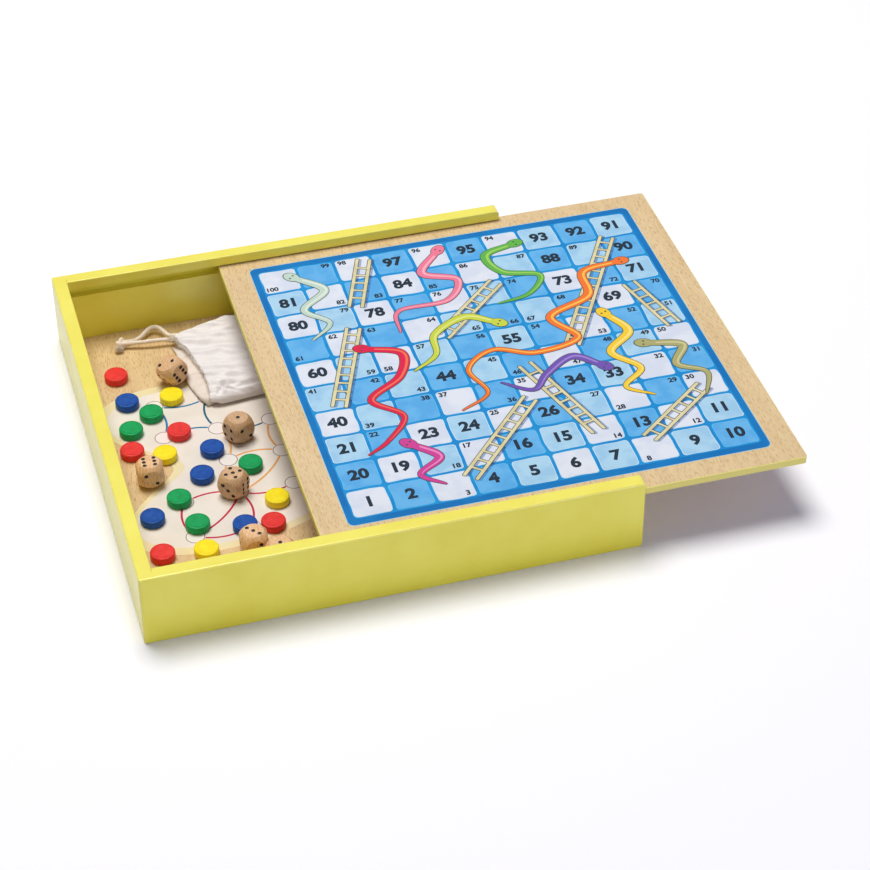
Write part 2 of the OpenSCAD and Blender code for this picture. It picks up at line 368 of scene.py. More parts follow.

# %% [markdown]
# ## Paint
# The walls are sprayed a clear yellow with a satin gloss. Real paint is never a
# flat colour: it lies in a faint orange peel, and its gloss varies. On the outer
# arrises the yellow turns paler in speckles: partly thin, worn paint and partly a
# painted highlight, standing in for the light that a rounded arris catches. The outer
# arrises are where two of the three distances to the box's faces are small at once.

# %% The arris group and the paint
YELLOW = srgb(245, 236, 88)
YELLOW_DEEP = srgb(238, 225, 66)
# paler yellow for the arrises: partly worn paint, partly a painted highlight
YELLOW_WORN_AND_LIT = srgb(250, 243, 160)
ARRIS_WIDTH = 1.3 * MM


def make_arris_group():
    group, given, tree = new_group("arris", {"Place": "Vector", "Half": "Vector",
                                             "Width": "Float"}, {"Mask": "Float"})
    flat = tree.add("VectorMath", {0: given["Place"]}, operation="ABSOLUTE")[0]
    gap = tree.add("VectorMath", {0: given["Half"], 1: flat}, operation="SUBTRACT")[0]
    x, y, z = tree.add("SeparateXYZ", {0: gap})
    greater = tree.math("MAXIMUM", x, y)
    middle = tree.math("MAXIMUM", tree.math("MINIMUM", x, y), tree.math("MINIMUM", greater, z))
    share = tree.math("DIVIDE", middle, given["Width"])
    tree.give("Mask", tree.ramp(share, 1.0, 0.2))
    return group


def paint(name):
    material, tree = new_material(name, 0.38, Coat_Weight=0.8, Coat_Roughness=0.22)
    place = tree.millimetres()
    base = tree.mix(tree.ramp(tree.noise(place, 0.03, 3), 0.3, 0.7), YELLOW_DEEP, YELLOW)
    box_half = Vector((back_high.x, back_high.y, BOX_TOP / 2))
    from_middle = tree.mapped(tree.here(), shift=(0, 0, -BOX_TOP / 2))
    edge = tree.add("Group", {"Place": from_middle, "Half": box_half, "Width": ARRIS_WIDTH},
                    node_tree=make_arris_group())
    speckle = tree.ramp(tree.noise(place, 0.35, 4), 0.42, 0.62)
    # the arris mask times the speckle: worn paint and a painted highlight in one
    worn_and_lit = tree.math("MULTIPLY", edge["Mask"], tree.math("MULTIPLY", speckle, 0.5))
    tree.give("Base Color", tree.mix(worn_and_lit, base, YELLOW_WORN_AND_LIT))
    tree.give("Roughness", tree.ramp(tree.noise(place, 0.09, 2), 0.3, 0.7, 0.33, 0.42))
    tree.bump(tree.noise(place, 0.7, 2), 0.02 * MM, 0.35)
    return material


dress(["wall_front", "wall_back", "wall_left", "wall_right"], paint("yellow_paint"))

# %% [markdown]
# ## Counters
# The counters are turned from wood and dipped in lacquer. Dipping leaves a thick,
# smooth film, so they take a coat over the colour, and a trace of the turning
# lines and of dust shows through it.

# %% Lacquered counters
COUNTER_COLOURS = {"red": ((236, 62, 58), (226, 48, 46)), "blue": ((24, 86, 176), (14, 70, 158)),
                   "green": ((0, 166, 92), (0, 150, 80)),
                   "yellow": ((255, 238, 40), (250, 226, 24))}
DUST = srgb(240, 236, 226)


def lacquer(name, bright, deep):
    material, tree = new_material(name, 0.42, Coat_Weight=0.06, Coat_Roughness=0.15,
                                  Specular_IOR_Level=0.16)
    place = tree.millimetres()
    cloud = tree.noise(place, 0.25, 4)
    colour = tree.mix(tree.ramp(cloud, 0.35, 0.65), srgb(*deep), srgb(*bright))
    dust = tree.ramp(tree.noise(place, 3.0, 2), 0.66, 0.74, 0, 0.12)
    tree.give("Base Color", tree.mix(dust, colour, DUST))
    tree.give("Roughness", tree.ramp(cloud, 0.3, 0.7, 0.36, 0.48))
    tree.bump(tree.noise(place, 1.1, 3), 0.02 * MM, 0.4)
    return material


for colour_name, (bright, deep) in COUNTER_COLOURS.items():
    dress([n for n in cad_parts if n.startswith(f"counter_{colour_name}")],
          lacquer(f"lacquer_{colour_name}", bright, deep))

# %% [markdown]
# ## Dice
# The dice are cubes of beech, tumbled until their corners were round, with the
# pips drilled and painted black. Each die was sawn from the board at its own
# angle, so each gets its own place in the wood and its own depth of colour. A
# point is inside a pip when it lies below both the cube's faces and the ball that
# tumbling left, which in the die's own frame takes only the largest of its three
# coordinates and its distance from the middle. Growth rings run about a pith that
# lies outside the die.

# %% Measures of the dice, in millimetres
DIE_HALF = 8.0
DIE_FLAT = 12.3  # across the round flat that tumbling left on each face
DIE_REACH = math.hypot(DIE_HALF, DIE_FLAT / 2)
PIP_BLACK = srgb(34, 20, 14)
LATE_WOOD = srgb(190, 138, 90)
DIE_BEECH = ((244, 202, 156), (231, 181, 130), (150, 98, 58))  # light, dark and ray
DIE_RAYS = 0.75
# each die's depth of colour, and its turn about the three axes
DICE = {1: (0.97, (26.5, -8.4, -60.5)), 2: (0.87, (0, 0, 25.4)), 3: (1.0, (0, 0, -2.2)),
        4: (0.9, (0, 0, 53.4)), 5: (1.0, (0, 0, -2.3)), 6: (0.98, (0, 0, 45))}
print("a die's worn corners lie", round(DIE_REACH, 2), "mm from its middle")


# %% The wood of each die
def pip_mask(tree, own):
    """One inside the pips and nought on the die's skin."""
    x, y, z = (tree.math("ABSOLUTE", axis) for axis in tree.add("SeparateXYZ", {0: own}))
    largest = tree.math("MAXIMUM", tree.math("MAXIMUM", x, y), z)
    distance = tree.add("VectorMath", {0: own}, operation="LENGTH")["Value"]
    return tree.math("MULTIPLY", tree.math("LESS_THAN", largest, DIE_HALF - 0.05),
                     tree.math("LESS_THAN", distance, DIE_REACH - 0.09))


def growth_rings(tree, own, number):
    place = tree.mapped(own, turn=(0, 0.12 * number, 0), shift=(9 + 2 * number, 5 - 2 * number, 0))
    wave = tree.add("TexWave", {"Vector": place, "Scale": 0.16, "Distortion": 2.2,
                                "Detail": 2.0, "Detail Scale": 0.5},
                    wave_type="RINGS", rings_direction="Z")
    return tree.ramp(wave["Fac"], 0.45, 1.0, 0.0, 0.22)


def die_wood(number, depth, turned):
    low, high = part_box(f"die_{number}")
    material, tree = new_material(f"die_wood_{number}", 0.5, Coat_Weight=0.35, Coat_Roughness=0.4)
    own = tree.mapped(tree.here(), (MM, MM, MM), [math.radians(a) for a in turned],
                      (low + high) / 2, "TEXTURE")
    along = tree.mapped(own, turn=(math.radians(90), 0, 0), shift=(17.0 * number, 0, 0))
    wood = in_beech(tree, along, *([depth * c for c in tone] for tone in DIE_BEECH), DIE_RAYS)
    ringed = tree.mix(growth_rings(tree, own, number), wood["Colour"], LATE_WOOD)
    tree.give("Base Color", tree.mix(pip_mask(tree, own), ringed, PIP_BLACK))
    tree.bump(wood["Height"], 0.03 * MM, 0.5)
    return material


for number, (depth, turned) in DICE.items():
    dress([f"die_{number}"], die_wood(number, depth, turned))

# %% [markdown]
# ## Printing ink
# The lid carries a printed race board. Ink has almost no thickness, but a picture
# made of thin flat plates stays sharp at any distance and needs no image, so each
# colour is a layer of plates a few hundredths of a millimetre thick. Flat ink on
# wood is satin, and screens leave it a little cloudy.

# %% Inks
LAYER = 0.04 * MM
CLOUD_SIZE = 14.0


def ink(title, colour, other=None, cloud_size=CLOUD_SIZE, roughness=0.45):
    """A printing ink; other is the tint that its clouds lean to."""
    material, tree = new_material(f"ink_{title}", roughness, Specular_IOR_Level=0.12)
    place = tree.millimetres()
    cloud = tree.ramp(tree.noise(place, 1 / cloud_size, 2), 0.42, 0.6)
    fine = tree.ramp(tree.noise(place, 1.6, 2), 0.3, 0.7, 0.0, 0.12)
    tint = tree.mix(cloud, srgb(*colour), srgb(*(other or colour)))
    tree.give("Base Color", tree.mix(fine, tint, (1, 1, 1, 1), "SOFT_LIGHT"))
    tree.bump(tree.noise(place, 0.8, 2), 0.01 * MM, 0.3)
    return material


# %% [markdown]
# New pieces are worked in bmesh and end the same way: loose doubles are merged,
# normals are turned outward, and the piece rides on the CAD body that carries it.
# A printed shape starts as flat faces, which then get their thickness and ink.


# %% Pieces and printed plates
SAME_POINT = 0.0005 * MM


def make_piece(bm, name, body, materials, smooth=False):
    bmesh.ops.remove_doubles(bm, verts=bm.verts, dist=SAME_POINT)
    bmesh.ops.recalc_face_normals(bm, faces=bm.faces)
    mesh = bpy.data.meshes.new(name)
    bm.to_mesh(mesh)
    bm.free()
    for material in materials:
        mesh.materials.append(material)
    if smooth:
        mesh.shade_smooth()
    piece = add_object(name, mesh)
    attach(piece, body)
    print(name, len(mesh.polygons), "faces")
    return piece


def only(kind, geometry):
    return [g for g in geometry if isinstance(g, kind)]


def print_new(bm, old, index, thickness):
    """Turns the flat faces made since `old` into thin closed plates of one ink."""
    flat = [f for f in bm.faces if f not in old]
    grown = bmesh.ops.extrude_face_region(bm, geom=flat, use_keep_orig=True)["geom"]
    bmesh.ops.translate(bm, verts=only(bmesh.types.BMVert, grown), vec=(0, 0, thickness))
    for face in bm.faces:
        if face not in old:
            face.material_index = index


# %% Cards and discs
def rounded_card(bm, place, width, length, corner, index=0, segments=4, thickness=LAYER):
    """A card with rounded corners, width along x and length along y, laid by a matrix."""
    old = set(bm.faces)
    verts = bmesh.ops.create_grid(bm, x_segments=1, y_segments=1, size=0.5)["verts"]
    bmesh.ops.scale(bm, verts=verts, vec=(width, length, 1))
    bmesh.ops.bevel(bm, geom=verts, offset=corner, offset_type="OFFSET", segments=segments,
                    profile=0.5, affect="VERTICES", material=-1)
    verts = list({v for f in bm.faces if f not in old for v in f.verts})
    bmesh.ops.transform(bm, matrix=place, verts=verts)
    print_new(bm, old, index, thickness)


def disc(bm, centre, radius, height, index=0, stretch=1.0, turn=0.0, thickness=LAYER, sides=24):
    old = set(bm.faces)
    made = bmesh.ops.create_circle(bm, cap_ends=True, segments=sides, radius=radius)
    place = (Matrix.Translation((centre[0], centre[1], height)) @ Matrix.Rotation(turn, 4, "Z")
             @ Matrix.Diagonal((stretch, 1, 1, 1)))
    bmesh.ops.transform(bm, matrix=place, verts=made["verts"])
    print_new(bm, old, index, thickness)


# %% Lines and ribbons
def smooth_line(points, steps=10):
    """A Catmull-Rom line through given points."""
    points = [Vector(p) for p in points]
    ends = [2 * points[0] - points[1]] + points + [2 * points[-1] - points[-2]]
    line = []
    for a, b, c, d in zip(ends, ends[1:], ends[2:], ends[3:]):
        for k in range(steps):
            t = k / steps
            line.append(0.5 * (2 * b + (c - a) * t + (2 * a - 5 * b + 4 * c - d) * t * t
                               + (3 * b - a - 3 * c + d) * t ** 3))
    return line + [points[-1]]


print("three points give a line of", len(smooth_line([(0, 0), (1, 0), (1, 1)])))


def ribbon(bm, line, widths, height, index=0, thickness=LAYER, closed=False):
    """A flat band along a line, made by dragging one edge on; widths(t) is its full width."""
    old = set(bm.faces)
    count = len(line)
    stations = []
    for k, at in enumerate(line):
        ahead = line[(k + 1) % count] if closed else line[min(k + 1, count - 1)]
        behind = line[k - 1] if closed or k else line[0]
        run = (ahead - behind).normalized()
        half = 0.5 * widths(k / (count - 1)) * Vector((-run.y, run.x, 0))
        centre = Vector((at.x, at.y, height))
        stations.append((centre + half, centre - half))
    if closed:
        stations.append(stations[0])
    ends = [bm.verts.new(p) for p in stations[0]]
    edge = bm.edges.new(ends)
    for station in stations[1:]:
        left = ends[0].co.copy()
        made = bmesh.ops.extrude_edge_only(bm, edges=[edge])["geom"]
        ends = sorted(only(bmesh.types.BMVert, made), key=lambda v: (v.co - left).length)
        edge = next(e for e in only(bmesh.types.BMEdge, made) if set(e.verts) == set(ends))
        ends[0].co, ends[1].co = station
    if closed:
        bmesh.ops.remove_doubles(bm, verts=bm.verts, dist=2 * SAME_POINT)
    print_new(bm, old, index, thickness)


# %% [markdown]
# ## The race board
# A blue field with rounded corners holds ten rows of ten tiles. Each tile is a
# bright rim with a paler or darker face inside it, and its outline wobbles a
# little, as if drawn by hand. Three tints are dealt so that neighbours differ.

# %% Measures and inks of the board
TILES = 10
TILE_PITCH = 25.2 * MM
TILE_SIZE = 23.1 * MM
TILE_RIM = 0.5 * MM
TILE_CORNER = 2.2 * MM
PRINT_SIZE = (260 * MM, 262 * MM)
PRINT_EDGE = 0.45 * MM
PRINT_MIDDLE = ((lid_low + lid_high) / 2 + Vector((0.6 * MM, 0.8 * MM, 0))).to_2d()
TINTS = ("pale", "light", "mid")
TINT_SEED = 4
WOBBLE = 0.7 * MM
WOBBLE_GRAIN = 9 * MM
EDGE_CUTS = 5  # in a tile's straight edges, so that they can wobble

# each ink's colour, then the tint and the size of its clouds
INKS = {title: ink(title, *look) for title, look in {
    "edge": [(150, 205, 235)],
    "field": [(14, 110, 182), (18, 120, 192), 30],
    "joint": [(22, 134, 206), (32, 146, 214), 22],
    "rim_pale": [(196, 226, 246)],
    "rim_blue": [(92, 186, 240)],
    "pale": [(224, 230, 243), (212, 220, 238), 16],
    "light": [(172, 213, 240), (154, 200, 234)],
    "mid": [(104, 180, 236), (88, 168, 230)],
    "digit": [(28, 44, 60)]}.items()}


def on_board(column, row):
    """The middle of a tile, or a place between tiles, counted from the front left one."""
    off = Vector((column - (TILES - 1) / 2, row - (TILES - 1) / 2))
    return (PRINT_MIDDLE + off * TILE_PITCH).to_3d()


print("first tile at", [round(c / MM, 1) for c in on_board(0, 0)], "mm")


# %% Field and tiles
def deal_tints(seed):
    """A tint for every tile, drawn so that no two neighbours match."""
    draw = random.Random(seed)
    tints = {}
    for row in range(TILES):
        for column in range(TILES):
            taken = {tints.get((column - 1, row)), tints.get((column, row - 1))}
            tints[column, row] = draw.choice([t for t in TINTS if t not in taken])
    return tints


def wobble(bm, amount, grain):
    """Moves every corner a little in the plane, by two slices of one field of noise."""
    for v in bm.verts:
        at = Vector((v.co.x, v.co.y, 0)) / grain
        right, back = (noise.noise(at + Vector((0, 0, z))) for z in (0.4, 7.6))
        v.co.x += amount * right
        v.co.y += amount * back


def make_field():
    bm = bmesh.new()
    width, length = PRINT_SIZE
    tiled = TILES * TILE_PITCH
    cards = ((width + 2 * PRINT_EDGE, length + 2 * PRINT_EDGE, 4.4 * MM, 0, LAYER / 2),
             (width, length, 4 * MM, 0, LAYER), (tiled, tiled, 3 * MM, LAYER / 4, LAYER))
    for index, (wide, long, corner, rise, thickness) in enumerate(cards):
        place = Matrix.Translation((*PRINT_MIDDLE, LID_TOP + rise))
        rounded_card(bm, place, wide, long, corner, index, 8, thickness)
    make_piece(bm, "print_field", "lid", [INKS[t] for t in ("edge", "field", "joint")])


def make_tiles(name, size, layers, tints, choose, inks):
    bm = bmesh.new()
    for at, tint in tints.items():
        place = Matrix.Translation(on_board(*at) + Vector((0, 0, LID_TOP + layers * LAYER)))
        rounded_card(bm, place, size, size, TILE_CORNER, choose(tint))
    straight = [e for e in bm.edges if e.calc_length() > TILE_SIZE / 2]
    bmesh.ops.subdivide_edges(bm, edges=straight, cuts=EDGE_CUTS)
    wobble(bm, WOBBLE, WOBBLE_GRAIN)
    make_piece(bm, name, "lid", [INKS[t] for t in inks])


make_field()
dealt = deal_tints(TINT_SEED)
make_tiles("print_tile_rims", TILE_SIZE, 1, dealt, lambda tint: int(tint == "mid"),
           ("rim_pale", "rim_blue"))
make_tiles("print_tiles", TILE_SIZE - 2 * TILE_RIM, 2, dealt, TINTS.index, TINTS)

# %% [markdown]
# Snakes and ladders cross the tiles. They are plain shapes of the old game: a
# ladder is two rails and its rungs, and a snake is a band that swells behind the
# head and thins to the tail. Both are laid out in tiles, counted from the middle
# of the first one. Each has a dark outline below its colour, and a ladder also
# prints a soft shade on the field beside it. Parts that cross lie on levels a
# fraction of a layer apart, because two faces at one height would flicker.

# %% Ladders
LADDERS = [((0.2, 3.6), (1.3, 6.5)), ((2.5, 0.2), (4.7, 2.6)), ((5.9, 1.0), (5.0, 3.9)),
           ((7.0, 0.4), (8.9, 1.9)), ((6.4, 4.4), (8.7, 8.5)), ((1.6, 7.4), (2.3, 9.3)),
           ((3.4, 5.6), (5.3, 7.4)), ((9.1, 4.5), (8.6, 6.4))]
OUTLINE = 0.45 * MM
LADDER_WIDTH = 10.4 * MM
RAIL = 2.1 * MM
RUNG = 1.5 * MM
RUNG_PITCH = 8.2 * MM
SHADE_CAST = Vector((1.6, -0.9, 0)) * MM
FIGURE_LEVEL = LID_TOP + 3 * LAYER
APART = 0.3  # of a layer, between parts that cross

outline_ink = ink("outline", (70, 78, 66))


def bar(bm, a, b, width, height, index):
    """A straight printed bar from a to b with rounded ends."""
    run = b - a
    place = (Matrix.Translation(((a.x + b.x) / 2, (a.y + b.y) / 2, height))
             @ Matrix.Rotation(math.atan2(run.y, run.x), 4, "Z"))
    rounded_card(bm, place, run.length + width, width, 0.4 * width, index, 3)


def ladder_bars(start, end):
    """Rails and rungs of one ladder as (from, to, width)."""
    run = (end - start).normalized()
    side = Vector((-run.y, run.x, 0)) * (LADDER_WIDTH - RAIL) / 2
    length = (end - start).length
    count = int((length - 3 * MM) / RUNG_PITCH)
    first = (length - (count - 1) * RUNG_PITCH) / 2
    bars = [(start + side * s, end + side * s, RAIL) for s in (-1, 1)]
    for k in range(count):
        at = start + run * (first + k * RUNG_PITCH)
        bars.append((at - side, at + side, RUNG))
    return bars


def make_ladders():
    bm, shade = bmesh.new(), bmesh.new()
    for start, end in LADDERS:
        for a, b, width in ladder_bars(on_board(*start), on_board(*end)):
            level = FIGURE_LEVEL + (APART * LAYER if width == RAIL else 0)
            bar(bm, a, b, width + 2 * OUTLINE, level, 0)
            bar(bm, a, b, width, level + LAYER, 1)
            bar(shade, a + SHADE_CAST, b + SHADE_CAST, width + OUTLINE,
                FIGURE_LEVEL - LAYER / 2, 0)
    shade_ink, _ = new_material("ink_shade", 0.5, Base_Color=srgb(52, 110, 176), Alpha=0.35)
    make_piece(shade, "print_ladder_shade", "lid", [shade_ink])
    make_piece(bm, "print_ladders", "lid",
               [outline_ink, ink("rail", (226, 216, 172), (212, 202, 156), 8)])


make_ladders()

# %% The table of snakes: colour, paler colour, and the line from head to tail
SNAKES = {
    "pink": ((240, 122, 152), (248, 176, 192),
             ((4.2, 9.1), (3.6, 8.3), (4.4, 7.8), (3.9, 7.0), (2.6, 6.9), (2.4, 6.0))),
    "green": ((96, 178, 76), (160, 208, 98),
              ((6.2, 8.9), (5.4, 8.6), (5.6, 7.8), (6.5, 7.4), (6.0, 6.7), (5.1, 6.5))),
    "orange": ((244, 118, 52), (252, 192, 84),
               ((8.6, 7.4), (7.6, 7.2), (7.4, 6.2), (6.2, 5.6), (6.6, 4.6), (5.4, 4.3),
                (4.4, 4.7), (3.6, 4.1), (3.8, 3.1), (3.0, 2.6))),
    "sage": ((192, 214, 200), (222, 234, 222),
             ((0.4, 9.0), (1.0, 8.3), (0.3, 7.6), (0.8, 6.9), (0.2, 6.3))),
    "red": ((222, 36, 76), (240, 112, 84),
            ((1.4, 5.6), (2.2, 5.2), (1.9, 4.3), (1.0, 3.6), (1.6, 2.8), (1.0, 2.0), (0.4, 1.6))),
    "lime": ((200, 212, 72), (226, 230, 130),
             ((4.8, 5.8), (4.1, 6.2), (3.2, 5.7), (3.0, 4.9), (2.3, 4.4))),
    "violet": ((112, 84, 176), (156, 132, 210),
               ((6.8, 3.4), (6.2, 3.9), (5.4, 3.4), (4.9, 2.9), (4.2, 3.4))),
    "yellow": ((246, 204, 58), (252, 226, 128),
               ((7.6, 5.3), (7.9, 4.5), (7.2, 3.8), (7.7, 3.0), (7.1, 2.4), (7.7, 1.9))),
    "magenta": ((206, 66, 150), (232, 134, 190), ((1.5, 1.7), (2.0, 1.1), (1.4, 0.6), (1.9, 0.1))),
    "olive": ((172, 168, 112), (204, 200, 150),
              ((8.2, 3.9), (9.0, 3.6), (8.6, 2.9), (9.2, 2.4), (8.9, 1.6)))}
print("snakes", len(SNAKES))

# %% Snakes
HEAD = 4.0 * MM
HEAD_STRETCH = 1.4
EYE = 0.7 * MM
EYE_OFF = 1.7 * MM
NOSE_AHEAD = 2.8 * MM
FLANK = 0.22  # of the width, for the paler line along one side


def snake_width(t, grow=0.0):
    """Full width along a snake: a slim neck, a full body and a long thin tail."""
    neck = 0.62 + 0.38 * min(1, t / 0.22)
    tail = math.sqrt(max(0.0, 1 - t)) * (1 - 0.25 * t)
    return (6.6 * neck * tail + 0.6) * MM + grow


def make_snake(title, colour, paler, route):
    line = smooth_line([on_board(*p) for p in route], 12)
    level = FIGURE_LEVEL + 2 * LAYER
    nose = line[0] + (line[0] - line[3]).normalized() * NOSE_AHEAD
    turn = math.atan2(nose.y - line[0].y, nose.x - line[0].x)
    side = Vector((-math.sin(turn), math.cos(turn), 0))
    bm = bmesh.new()
    for index, grow in enumerate((2 * OUTLINE, 0)):
        ribbon(bm, line, lambda t: snake_width(t, grow), level + index * LAYER, index)
        disc(bm, nose, HEAD + grow / 2, level + (index + APART) * LAYER, index, HEAD_STRETCH,
             turn)
    # a paler line along one flank, and two plain round eyes
    flank = [p + Vector((FLANK * snake_width(k / len(line)), 0, 0)) for k, p in enumerate(line)]
    ribbon(bm, flank[2:-12], lambda t: 0.28 * snake_width(t), level + 2 * LAYER, 2)
    for s in (-1, 1):
        disc(bm, nose + side * EYE_OFF * s, EYE, level + (2 + APART) * LAYER, 0, sides=12)
    make_piece(bm, f"print_snake_{title}", "lid",
               [outline_ink, ink(title, colour), ink(f"{title}_pale", paler)])
    return line


snake_lines = [make_snake(title, *look) for title, look in SNAKES.items()]

# %% [markdown]
# The tiles are numbered from the front left corner, to and fro up the board.
# A number is large in a free tile, and small in a corner where a figure passes.
# The figures here come from Blender's own font: thickened, made a mesh, and then
# laid in place.

# %% Numbers
BIG_DIGITS = (12.2 * MM, 0.55 * MM)  # the height of the figures and what is added to a stroke
SMALL_DIGITS = (5.6 * MM, 0.22 * MM)
FREE_ROOM = 11 * MM
TO_CORNER = Vector((7.03, 8.14, 0)) * MM


def number_of(column, row):
    return TILES * row + (column if row % 2 == 0 else TILES - 1 - column) + 1


def passing_points():
    points = [p for line in snake_lines for p in line]
    for start, end in LADDERS:
        a, b = on_board(*start), on_board(*end)
        points += [a.lerp(b, k / 30) for k in range(31)]
    return points


def number_mesh(number, size, weight):
    text = having(bpy.data.curves.new("digits", "FONT"), body=str(number), size=size,
                  align_x="CENTER", align_y="CENTER", offset=weight, extrude=LAYER / 2,
                  resolution_u=3)
    carrier = bpy.data.objects.new("digits", text)
    mesh = bpy.data.meshes.new_from_object(carrier)
    bpy.data.objects.remove(carrier)
    return mesh


def make_numbers():
    points = passing_points()

    def room(at):
        return min((p - at).length for p in points)

    bm = bmesh.new()
    for column in range(TILES):
        for row in range(TILES):
            at, digits = on_board(column, row), BIG_DIGITS
            if room(at) <= FREE_ROOM:
                corners = [at + Vector((a * TO_CORNER.x, b * TO_CORNER.y, 0))
                           for a in (-1, 1) for b in (-1, 1)]
                at, digits = max(corners, key=room), SMALL_DIGITS
            mesh = number_mesh(number_of(column, row), *digits)
            mesh.transform(Matrix.Translation((at.x, at.y, LID_TOP + 3.5 * LAYER)))
            bm.from_mesh(mesh)
            bpy.data.meshes.remove(mesh)
    make_piece(bm, "print_numbers", "lid", [INKS["digit"]])


make_numbers()

# %% [markdown]
# ## The board printed on the floor
# A second game is printed inside, on the floor. It is a pale four-lobed field
# with a yellowish border, and on it a net of round places joined by thin curved
# tracks. The field's outline is a circle whose radius swells four times; the net
# is a square lattice, kept where it falls inside the field.

# %% Measures and inks of the floor print
FLOOR_LAYER = 0.015 * MM
FIELD_MIDDLE = Vector((-2 * MM, -5 * MM, 0))
FIELD_REACH = Vector((134 * MM, 76 * MM, 0))
FIELD_SWELL = 0.29
FIELD_BORDER = 7 * MM
FIELD_MARGIN = 8 * MM
NET_COLUMNS, NET_ROWS = 7, 5
NET_PITCH = Vector((34 * MM, 32 * MM, 0))
NET_START = Vector((-104 * MM, -71 * MM, 0))
PLACE_RADIUS = 5.6 * MM
PLACE_SIDES = 28
PLACE_LINE = 0.45 * MM
TRACK = 1.35 * MM
TRACK_SAG = 4.5 * MM
# the teal ink is a darker blue: a painted shade of the bag over the tracks near it
NET_INKS = {"track_blue": (22, 122, 168), "track_orange": (230, 164, 98),
            "track_crimson": (196, 44, 78), "track_teal_bag_shade": (20, 96, 120),
            "place": (242, 234, 229), "place_line": (128, 100, 104)}
BLUE, ORANGE, CRIMSON, BAG_SHADED_TEAL, PLACE, PLACE_RING = range(len(NET_INKS))
print("the floor's field is", [round(2 * r / MM) for r in FIELD_REACH.xy], "mm before it swells")


# %% The lobed field
def field_point(angle, grow=0.0):
    """A point of the four-lobed outline."""
    swell = 1 - FIELD_SWELL * math.cos(4 * angle)
    way = Vector((math.cos(angle), math.sin(angle), 0))
    return FIELD_MIDDLE + FIELD_REACH * way * swell + grow * way


def inside_field(point, margin):
    off = point - FIELD_MIDDLE
    angle = math.atan2(off.y / FIELD_REACH.y, off.x / FIELD_REACH.x)
    return off.length < (field_point(angle) - FIELD_MIDDLE).length - margin


def field_plate(bm, grow, level, index):
    old = set(bm.faces)
    made = bmesh.ops.create_circle(bm, cap_ends=True, segments=120, radius=1)
    for v in made["verts"]:
        v.co = field_point(math.atan2(v.co.y, v.co.x), grow)
        v.co.z = FLOOR_TOP + level * FLOOR_LAYER
    print_new(bm, old, index, FLOOR_LAYER)


def make_floor_field():
    bm = bmesh.new()
    field_plate(bm, FIELD_BORDER, 0, 0)
    field_plate(bm, 0, 1, 1)
    make_piece(bm, "print_floor_field", "box",
               [ink("border", (238, 224, 180), (233, 217, 168), 20, 0.6),
                ink("cream", (239, 231, 222), (234, 224, 213), 30, 0.6)])


make_floor_field()


# %% The net of places and tracks
def turns(count):
    """The angles of a full turn in equal steps."""
    return [math.tau * k / count for k in range(count)]


def net_places():
    places = {}
    for column in range(NET_COLUMNS):
        for row in range(NET_ROWS):
            at = NET_START + Vector((column, row, 0)) * NET_PITCH
            if inside_field(at, FIELD_MARGIN):
                places[column, row] = at
    print("net places", len(places))
    return places


def track_line(a, b, sag):
    """A curved track between two places, from rim to rim."""
    run = b - a
    side = Vector((-run.y, run.x, 0)).normalized() * sag
    share = PLACE_RADIUS / run.length
    steps = [share + (1 - 2 * share) * k / 24 for k in range(25)]
    return [a + run * t + side * 4 * t * (1 - t) for t in steps]


def track_ink(point):
    """Each part of the net has its own colour of track; the dark teal near the bag is blue track
    with the bag's shade painted into its colour.
    """
    off = point - FIELD_MIDDLE
    if off.x > 30 * MM:
        return ORANGE if off.y < 0 else BLUE
    if off.y < -22 * MM:
        return CRIMSON
    if off.x < -72 * MM:
        return BLUE
    return ORANGE if off.y < 16 * MM else BAG_SHADED_TEAL


def make_floor_net():
    bm = bmesh.new()
    places = net_places()
    level = FLOOR_TOP + 2 * FLOOR_LAYER
    for (column, row), at in places.items():
        for step, (beside, above) in enumerate(((1, 0), (0, 1), (1, 1))):
            other = places.get((column + beside, row + above))
            if other is None or (step == 2 and (column + row) % 2):
                continue
            line = track_line(at, other, TRACK_SAG * (1 if (column + row + step) % 2 else -1))
            ribbon(bm, line, lambda t: TRACK, level, track_ink((at + other) / 2), FLOOR_LAYER)
        circle = [at + Vector((math.cos(a), math.sin(a), 0)) * PLACE_RADIUS
                  for a in turns(PLACE_SIDES)]
        disc(bm, at, PLACE_RADIUS - 0.1 * MM, level + FLOOR_LAYER / 2, PLACE,
             sides=PLACE_SIDES, thickness=FLOOR_LAYER / 2)
        ribbon(bm, circle, lambda t: PLACE_LINE, level + FLOOR_LAYER, PLACE_RING,
               FLOOR_LAYER / 2, True)
    make_piece(bm, "print_floor_net", "box", [ink(*look) for look in NET_INKS.items()])


make_floor_net()

# %% [markdown]
# ## Cotton
# The bag is undyed cotton calico, a plain weave of threads about a third of a
# millimetre apart. The weave follows the cloth, so it reads the piece's own UV
# map, which is laid out in metres of flat cloth. Two families of threads pass
# over and under each other: where the two waves agree the warp is on top. The
# drawstring and the loose threads are soft spun yarn instead: fine fibres, and a
# darker shade where the lay sinks in.

# %% The weave group
THREADS_PER_METRE = 2900.0


def make_weave_group():
    group, given, tree = new_group("plain_weave", {"Threads": "Vector"},
                                   {"Height": "Float", "Shade": "Float"})
    axes = tree.add("SeparateXYZ", {0: given["Threads"]})
    waves = [tree.math("SINE", tree.math("MULTIPLY", axes[k], math.pi)) for k in (0, 1)]
    over = tree.math("MULTIPLY", *waves)
    warp, weft = (tree.math("MULTIPLY", tree.math("ABSOLUTE", wave),
                            tree.math("MULTIPLY_ADD", over, lift, 0.6))
                  for wave, lift in zip(waves, (0.4, -0.4)))
    height = tree.math("MAXIMUM", warp, weft)
    tree.give("Height", height)
    # Shade is a painted shade: the low places between the threads come out darker
    tree.give("Shade", tree.ramp(height, 0.1, 0.7))
    return group


weave = make_weave_group()
print("group", weave.name, "with", len(weave.nodes), "nodes")


